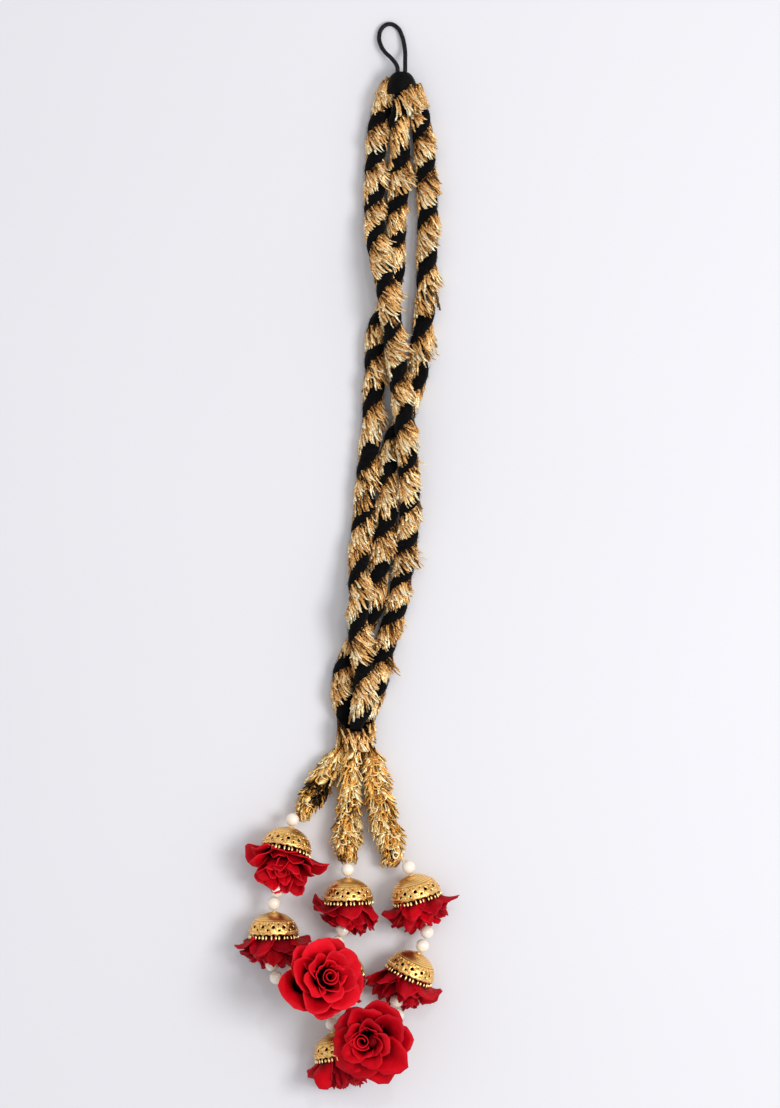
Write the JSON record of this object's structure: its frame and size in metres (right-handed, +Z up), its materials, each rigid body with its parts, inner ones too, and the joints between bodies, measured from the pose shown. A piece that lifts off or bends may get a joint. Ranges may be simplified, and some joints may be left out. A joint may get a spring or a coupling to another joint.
{
  "type": "paranda hair tassel",
  "caption": "Plaited hair tassel: black wool ropes wound with gold loop fringe, an elastic loop at the head, and gold tails with strings of pearls, pierced caps and red cloth roses.",
  "frame": {"origin": "middle of the piece without its loop, seen from above, on the surface that it lies on", "axes": "+Y along the braid towards the loop, +Z up from the surface, +X to the right seen from above with the loop at the top"},
  "size_m": [0.1317, 0.6394, 0.0623],
  "materials": {
    "elastic": "round braided elastic, slightly shiny",
    "wrapping_thread": "close turns of glossy black thread",
    "wool": "soft matt spun wool",
    "gold_fringe": "metallic gold thread in twisted loops",
    "stringing_thread": "plain twisted thread",
    "pearl": "pearl lacquer with a soft sheen",
    "gold_filigree": "gilt pierced sheet, satin with bright rim beads",
    "rose_cloth": "stiff satin cloth with dark sealed edges"
  },
  "bodies": {
    "root": {"hanging_loop": "elastic", "head_wrap": "wrapping_thread", "join_wrap": "gold_fringe", "strand_left": "wool", "strand_middle": "wool", "strand_right": "wool", "fringe_left": "gold_fringe", "fringe_middle": "gold_fringe", "fringe_right": "gold_fringe", "tail_left": "gold_fringe", "tail_middle": "gold_fringe", "tail_right": "gold_fringe", "thread_left": "stringing_thread", "thread_middle": "stringing_thread", "thread_right": "stringing_thread", "pearl_left_1": "pearl", "pearl_left_2": "pearl", "pearl_left_3": "pearl", "pearl_left_4": "pearl", "pearl_left_5": "pearl", "pearl_middle_1": "pearl", "pearl_middle_2": "pearl", "pearl_middle_3": "pearl", "pearl_middle_4": "pearl", "pearl_middle_5": "pearl", "pearl_right_1": "pearl", "pearl_right_2": "pearl", "pearl_right_3": "pearl", "pearl_right_4": "pearl", "pearl_right_5": "pearl", "cap_left_1": "gold_filigree", "cap_left_2": "gold_filigree", "cap_left_3": "gold_filigree", "cap_middle_1": "gold_filigree", "cap_middle_2": "gold_filigree", "cap_middle_3": "gold_filigree", "cap_right_1": "gold_filigree", "cap_right_2": "gold_filigree", "cap_right_3": "gold_filigree", "rose_left_1": "rose_cloth", "rose_left_2": "rose_cloth", "rose_left_3": "rose_cloth", "rose_middle_1": "rose_cloth", "rose_middle_2": "rose_cloth", "rose_middle_3": "rose_cloth", "rose_right_1": "rose_cloth", "rose_right_2": "rose_cloth", "rose_right_3": "rose_cloth"}
  },
  "joints": []
}
